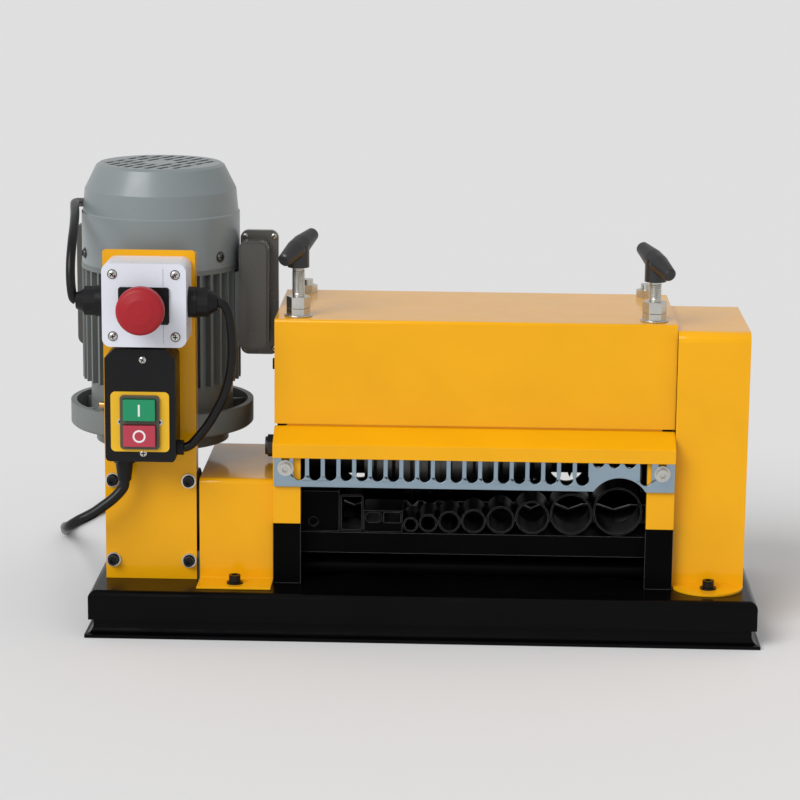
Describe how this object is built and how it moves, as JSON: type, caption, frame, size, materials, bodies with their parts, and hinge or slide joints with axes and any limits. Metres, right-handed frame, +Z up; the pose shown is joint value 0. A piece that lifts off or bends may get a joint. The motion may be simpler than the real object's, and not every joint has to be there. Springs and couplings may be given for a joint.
{
  "type": "wire stripping machine",
  "caption": "Bench wire stripping machine: a vertical gear motor turns a grooved feed roller under disc blades in a folded yellow casing on a black base.",
  "frame": {"origin": "centre of the base pan's underside, on the surface it stands on", "axes": "+X to the right along the base, +Y away from the operator, +Z up"},
  "size_m": [0.6415, 0.5413, 0.3882],
  "materials": {
    "black_paint": "gloss black enamel",
    "yellow_paint": "satin golden yellow powder coat",
    "zinc_plate": "bluish zinc plating",
    "steel": "bright turned steel",
    "blade_steel": "ground tool steel",
    "black_screws": "black oxide",
    "motor_grey": "grey enamel on cast metal",
    "gearbox_grey": "painted aluminium casting",
    "dark_grey": "dark grey enamel",
    "black_plastic": "moulded black plastic",
    "white_plastic": "white moulded plastic",
    "red_plastic": "red moulded plastic",
    "green_plastic": "green moulded plastic",
    "grey_plastic": "grey moulded plastic",
    "cable": "black PVC sheath"
  },
  "bodies": {
    "frame": {"base": "black_paint", "side_plate_left": "black_paint", "side_plate_right": "black_paint", "bridge_plate": "black_paint", "front_posts": "yellow_paint", "lower_frame": "black_paint", "hood": "yellow_paint", "front_strip": "yellow_paint", "comb": "zinc_plate", "comb_screws": "steel", "feed_shelf": "black_paint", "end_block": "black_paint", "tall_tube": "black_paint", "flat_tube_block": "black_paint", "small_feed_tubes": "black_paint", "large_feed_tubes": "black_paint", "rear_plate": "black_paint", "roller_bearings": "steel", "hex_nuts": "steel", "guide_bolts": "steel", "gear_cover": "yellow_paint", "drive_guard": "yellow_paint", "cover_screws": "black_screws", "gearbox": "gearbox_grey", "motor_flange": "motor_grey", "motor_body": "motor_grey", "fan_cover": "motor_grey", "terminal_box": "dark_grey", "terminal_lid": "dark_grey", "control_bracket": "yellow_paint", "bracket_screws": "black_screws", "stop_box_body": "white_plastic", "cable_glands": "black_plastic", "stop_collar": "black_plastic", "switch_body": "black_plastic", "switch_plate": "yellow_paint", "switch_frame": "grey_plastic", "leads": "cable", "strain_relief": "black_plastic", "mains_cord": "cable", "mains_coil": "cable", "mains_plug": "black_plastic"},
    "rotor": {"cooling_fan": "black_plastic"},
    "output": {"output_gear": "steel"},
    "roller": {"feed_roller": "steel", "roller_gear": "steel", "driven_gear": "steel"},
    "carriage": {"bearing_blocks": "black_paint"},
    "blade_set": {"blade_shaft": "steel", "blade_spacers": "steel", "blades": "blade_steel", "blade_gear": "steel"},
    "left_setting": {"left_screw": "steel", "left_handle": "black_plastic"},
    "right_setting": {"right_screw": "steel", "right_handle": "black_plastic"},
    "stop_stem": {"stop_plunger": "black_plastic"},
    "stop_head": {"stop_button": "red_plastic"},
    "start_button": {"start_key": "green_plastic"},
    "stop_switch": {"stop_key": "red_plastic"}
  },
  "joints": [
    {"name": "motor_spin", "type": "hinge", "parent": "frame", "child": "rotor", "pos_m": [-0.233, 0.00667, 0.33], "axis": [0, 0, 1], "continuous": true},
    {"name": "output_spin", "type": "hinge", "parent": "frame", "child": "output", "pos_m": [-0.16, -0.04333, 0.0916], "axis": [1, 0, 0], "continuous": true},
    {"name": "roller_spin", "type": "hinge", "parent": "frame", "child": "roller", "pos_m": [0.042, -0.01, 0.078], "axis": [1, 0, 0], "continuous": true},
    {"name": "carriage_lift", "type": "slide", "parent": "frame", "child": "carriage", "axis": [0, 0, 1], "range_m": [0, 0.006]},
    {"name": "blade_spin", "type": "hinge", "parent": "carriage", "child": "blade_set", "pos_m": [0.042, -0.01, 0.142], "axis": [1, 0, 0], "continuous": true},
    {"name": "left_setting_turn", "type": "hinge", "parent": "carriage", "child": "left_setting", "pos_m": [-0.109, -0.055, 0.2], "axis": [0, 0, 1], "range_deg": [0, 1442]},
    {"name": "right_setting_turn", "type": "hinge", "parent": "carriage", "child": "right_setting", "pos_m": [0.193, -0.055, 0.2], "axis": [0, 0, 1], "range_deg": [0, 1442]},
    {"name": "stop_press", "type": "slide", "parent": "frame", "child": "stop_stem", "axis": [0, 1, 0], "range_m": [0, 0.006]},
    {"name": "stop_twist", "type": "hinge", "parent": "stop_stem", "child": "stop_head", "pos_m": [-0.232, -0.14, 0.285], "axis": [0, 1, 0], "range_deg": [0, 45], "stiffness_Nm_per_rad": 0.05},
    {"name": "start_key_press", "type": "slide", "parent": "frame", "child": "start_button", "axis": [0, 1, 0], "range_m": [0, 0.002], "stiffness_N_per_m": 800},
    {"name": "stop_key_press", "type": "slide", "parent": "frame", "child": "stop_switch", "axis": [0, 1, 0], "range_m": [0, 0.002], "stiffness_N_per_m": 800}
  ],
  "couplings": [
    {"joint": "output_spin", "follows": "motor_spin", "ratio": 0.033333},
    {"joint": "roller_spin", "follows": "motor_spin", "ratio": -0.033333},
    {"joint": "blade_spin", "follows": "motor_spin", "ratio": 0.033333},
    {"joint": "left_setting_turn", "follows": "carriage_lift", "rad_per_m": 4188.8},
    {"joint": "right_setting_turn", "follows": "carriage_lift", "rad_per_m": 4188.8}
  ]
}
